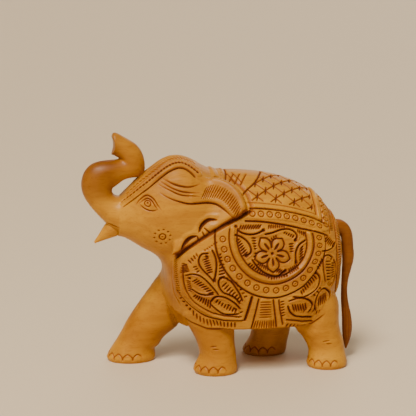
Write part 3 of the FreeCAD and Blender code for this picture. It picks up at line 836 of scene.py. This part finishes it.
# ------------------------------------------------------------------ wood
def wood(name):
    """Honey-coloured close-grained wood, oiled, darkened by two layers: dark stain with painted shade, and
    a darker tone that is painted shade on the tail.
    """
    mat = bpy.data.materials.new(name)
    mat.use_nodes = True
    nodes = mat.node_tree.nodes
    links = mat.node_tree.links
    shader = nodes["Principled BSDF"]
    place = nodes.new("ShaderNodeTexCoord")

    def noise(scale, stretch, detail, distortion=0.0):
        fit = nodes.new("ShaderNodeMapping")
        fit.inputs["Scale"].default_value = stretch
        links.new(place.outputs["Object"], fit.inputs["Vector"])
        cloud = nodes.new("ShaderNodeTexNoise")
        cloud.inputs["Scale"].default_value = scale
        cloud.inputs["Detail"].default_value = detail
        cloud.inputs["Distortion"].default_value = distortion
        links.new(fit.outputs["Vector"], cloud.inputs["Vector"])
        return cloud.outputs["Fac"]

    def ramp(source, stops):
        node = nodes.new("ShaderNodeValToRGB")
        bar = node.color_ramp
        for k, (at, colour) in enumerate(stops):
            stop = bar.elements[k] if k < 2 else bar.elements.new(at)
            stop.position = at
            stop.color = (*colour, 1)
        links.new(source, node.inputs["Fac"])
        return node.outputs["Color"]

    def blend(kind, amount, a, b):
        node = nodes.new("ShaderNodeMix")
        node.data_type = "RGBA"
        node.blend_type = kind
        node.inputs[0].default_value = amount
        links.new(a, node.inputs[6])
        links.new(b, node.inputs[7])
        return node.outputs[2]

    white = (1.0, 1.0, 1.0)
    pale_stain_and_shade = (0.86, 0.70, 0.58)
    brown_stain_and_shade = (0.50, 0.29, 0.20)
    black_stain_and_shade = (0.19, 0.08, 0.06)
    tone = ramp(
        noise(26, (0.35, 1.0, 1.0), 3.0, 0.4),
        [(0.32, (0.34, 0.120, 0.003)), (0.70, (0.62, 0.300, 0.018)), (0.52, (0.48, 0.207, 0.008))],
    )
    grain = ramp(noise(240, (0.10, 1.0, 1.0), 4.0, 0.6), [(0.35, (0.74, 0.62, 0.50)), (0.62, white)])
    pores = ramp(noise(1300, (0.12, 1.0, 1.0), 2.0), [(0.30, (0.66, 0.50, 0.36)), (0.45, white)])
    body = blend("MULTIPLY", 0.6, tone, grain)
    body = blend("MULTIPLY", 0.4, body, pores)
    # The darker tone, painted shade on the tail; then the stain, with painted shade in the cuts, under the
    # ear and below the hem.
    for layer, stops in (
        ("deep", [(0.0, white), (1.0, (0.46, 0.32, 0.45))]),
        ("stain_and_shade", [(0.04, white), (1.0, black_stain_and_shade), (0.30, pale_stain_and_shade), (0.62, brown_stain_and_shade)]),
    ):
        level = nodes.new("ShaderNodeAttribute")
        level.attribute_name = layer
        body = blend("MULTIPLY", 1.0, body, ramp(level.outputs["Fac"], stops))
    # The last level made is the stain with its painted shade, which is matt.
    matt = ramp(level.outputs["Fac"], [(0.10, (0.0, 0.0, 0.0)), (0.60, (0.85, 0.85, 0.85))])
    links.new(body, shader.inputs["Base Color"])
    rough = ramp(noise(90, (0.4, 1.0, 1.0), 3.0), [(0.3, (0.32, 0.32, 0.32)), (0.7, (0.46, 0.46, 0.46))])
    links.new(blend("LIGHTEN", 1.0, rough, matt), shader.inputs["Roughness"])
    shader.inputs["Specular IOR Level"].default_value = 0.22
    bump = nodes.new("ShaderNodeBump")
    bump.inputs["Strength"].default_value = 0.25
    bump.inputs["Distance"].default_value = 0.0002
    links.new(noise(420, (0.15, 1.0, 1.0), 4.0, 0.3), bump.inputs["Height"])
    links.new(bump.outputs["Normal"], shader.inputs["Normal"])
    return mat


carved = wood("carved_wood")
for obj, node in ((block, "carved_block"), (lip, "lower_lip"), (tail, "tail")):
    obj.data.materials.append(carved)
    obj.data.polygons.foreach_set("use_smooth", np.ones(len(obj.data.polygons), bool))
    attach(obj, "root")
    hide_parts(node)

# ------------------------------------------------------------------ stage
bpy.ops.mesh.primitive_plane_add(size=30)
floor = bpy.context.object
floor.name = "floor"
paint = bpy.data.materials.new("floor")
paint.use_nodes = True
paint.node_tree.nodes["Principled BSDF"].inputs["Base Color"].default_value = (0.68, 0.54, 0.37, 1)
paint.node_tree.nodes["Principled BSDF"].inputs["Roughness"].default_value = 0.7
floor.data.materials.append(paint)
floor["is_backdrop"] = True

# The room: as bright as the lit floor at the horizon, so the two run together, and softer above.
world = bpy.data.worlds.new("room")
bpy.context.scene.world = world
world.use_nodes = True
sky = world.node_tree.nodes
link = world.node_tree.links.new
height = sky.new("ShaderNodeSeparateXYZ")
link(sky.new("ShaderNodeTexCoord").outputs["Generated"], height.inputs[0])
fade = sky.new("ShaderNodeValToRGB")
fade.color_ramp.elements[0].position = 0.02
fade.color_ramp.elements[0].color = (0.86, 0.67, 0.46, 1)
fade.color_ramp.elements[1].position = 0.30
fade.color_ramp.elements[1].color = (0.40, 0.35, 0.27, 1)
link(height.outputs["Z"], fade.inputs[0])
link(fade.outputs[0], sky["Background"].inputs[0])
sky["Background"].inputs[1].default_value = 1.0


def lamp(name, kind, place, strength, colour):
    """A lamp at place, aimed at the middle of the figure."""
    data = bpy.data.lights.new(name, kind)
    data.energy = strength
    data.color = colour
    obj = bpy.data.objects.new(name, data)
    obj.location = place
    obj.rotation_euler = (Vector((0, 0, 0.06)) - Vector(place)).to_track_quat("-Z", "Y").to_euler()
    bpy.context.scene.collection.objects.link(obj)
    return data


lamp("window", "SUN", (-0.30, -0.40, 0.90), 3.0, (1, 0.94, 0.83)).angle = math.radians(20)
lamp("key", "AREA", (-0.30, -0.70, 0.80), 4.6, (1, 0.94, 0.84)).size = 0.2
lamp("back", "SUN", (0.5, 0.9, 0.6), 0.5, (1, 0.95, 0.88)).angle = math.radians(40)

# ------------------------------------------------------------------ camera
DISTANCE = 0.85
AZ = math.radians(-11)
EL = math.radians(11)
aim = Vector((-0.0062, 0.0, 0.0857))
away = Vector((math.sin(AZ) * math.cos(EL), -math.cos(AZ) * math.cos(EL), math.sin(EL)))
cam = bpy.data.cameras.new("camera")
cam.sensor_width = 36
cam.lens = 36 * DISTANCE / 0.2215
camera = bpy.data.objects.new("camera", cam)
camera.location = aim + away * DISTANCE
camera.rotation_euler = (-away).to_track_quat("-Z", "Y").to_euler()
bpy.context.scene.collection.objects.link(camera)
bpy.context.scene.camera = camera

sizes = {"before": size_before, "after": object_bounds()}
sizes = {key: [[float(v) for v in corner] for corner in box] for key, box in sizes.items()}
